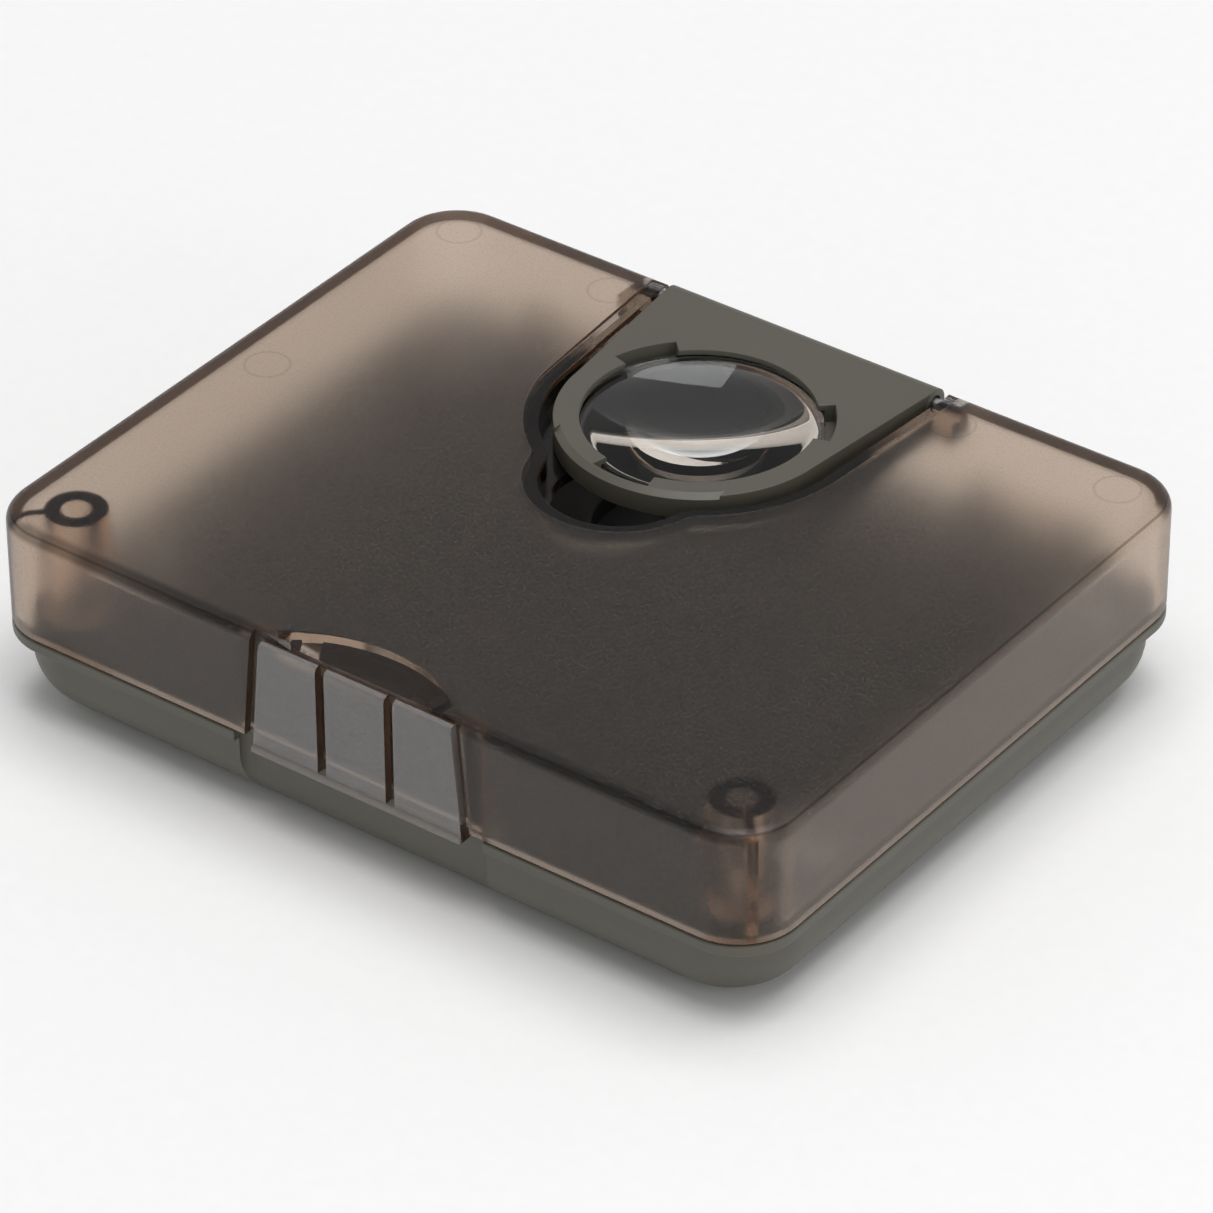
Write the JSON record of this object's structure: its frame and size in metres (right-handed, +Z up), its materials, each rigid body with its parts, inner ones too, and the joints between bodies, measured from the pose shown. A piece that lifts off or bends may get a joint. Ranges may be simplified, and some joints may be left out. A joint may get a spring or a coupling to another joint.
{
  "type": "demagnetizer",
  "caption": "Pocket passive demagnetizer: hinged case with smoke lid, flip-up loupe, magnet deck, guide groove and slot.",
  "frame": {"origin": "centre of the bounding box at the plane the feet stand on", "axes": "+X along the long side, towards the right seen from the grip; +Y from the grip to the hinge; +Z up"},
  "size_m": [0.12, 0.0996, 0.0298],
  "materials": {
    "olive_plastic": "fine spark-eroded satin",
    "smoke_plastic": "smoke tint, frosted",
    "dark_plastic": "matt moulded",
    "lens_glass": "clear polished",
    "nickel": "nickel plated magnet",
    "steel": "ground",
    "rubber": "matt"
  },
  "bodies": {
    "base": {"base_tray": "olive_plastic", "deck_insert": "dark_plastic", "hinge_pin_left": "steel", "hinge_pin_right": "steel", "yoke_plate": "steel", "slot_yoke": "steel", "slot_magnet_left": "nickel", "slot_magnet_right": "nickel", "catch_magnet_left": "nickel", "catch_magnet_right": "nickel", "deck_screw_1": "steel", "foot_1": "rubber", "deck_screw_2": "steel", "foot_2": "rubber", "deck_screw_3": "steel", "foot_3": "rubber", "deck_screw_4": "steel", "foot_4": "rubber", "demag_magnet_1": "nickel", "demag_magnet_2": "nickel", "demag_magnet_3": "nickel", "demag_magnet_4": "nickel", "demag_magnet_5": "nickel", "demag_magnet_6": "nickel"},
    "lid": {"lid_shell": "smoke_plastic", "lid_magnet_left": "nickel", "lid_magnet_right": "nickel", "loupe_pin": "steel"},
    "loupe": {"loupe_arm": "olive_plastic", "loupe_lens": "lens_glass"}
  },
  "joints": [
    {"name": "lid_hinge", "type": "hinge", "parent": "base", "child": "lid", "pos_m": [0, 0.04735, 0.01275], "axis": [-1, 0, 0], "range_deg": [0, 100]},
    {"name": "loupe_hinge", "type": "hinge", "parent": "lid", "child": "loupe", "pos_m": [0, 0.04495, 0.0272], "axis": [-1, 0, 0], "range_deg": [0, 90]}
  ]
}
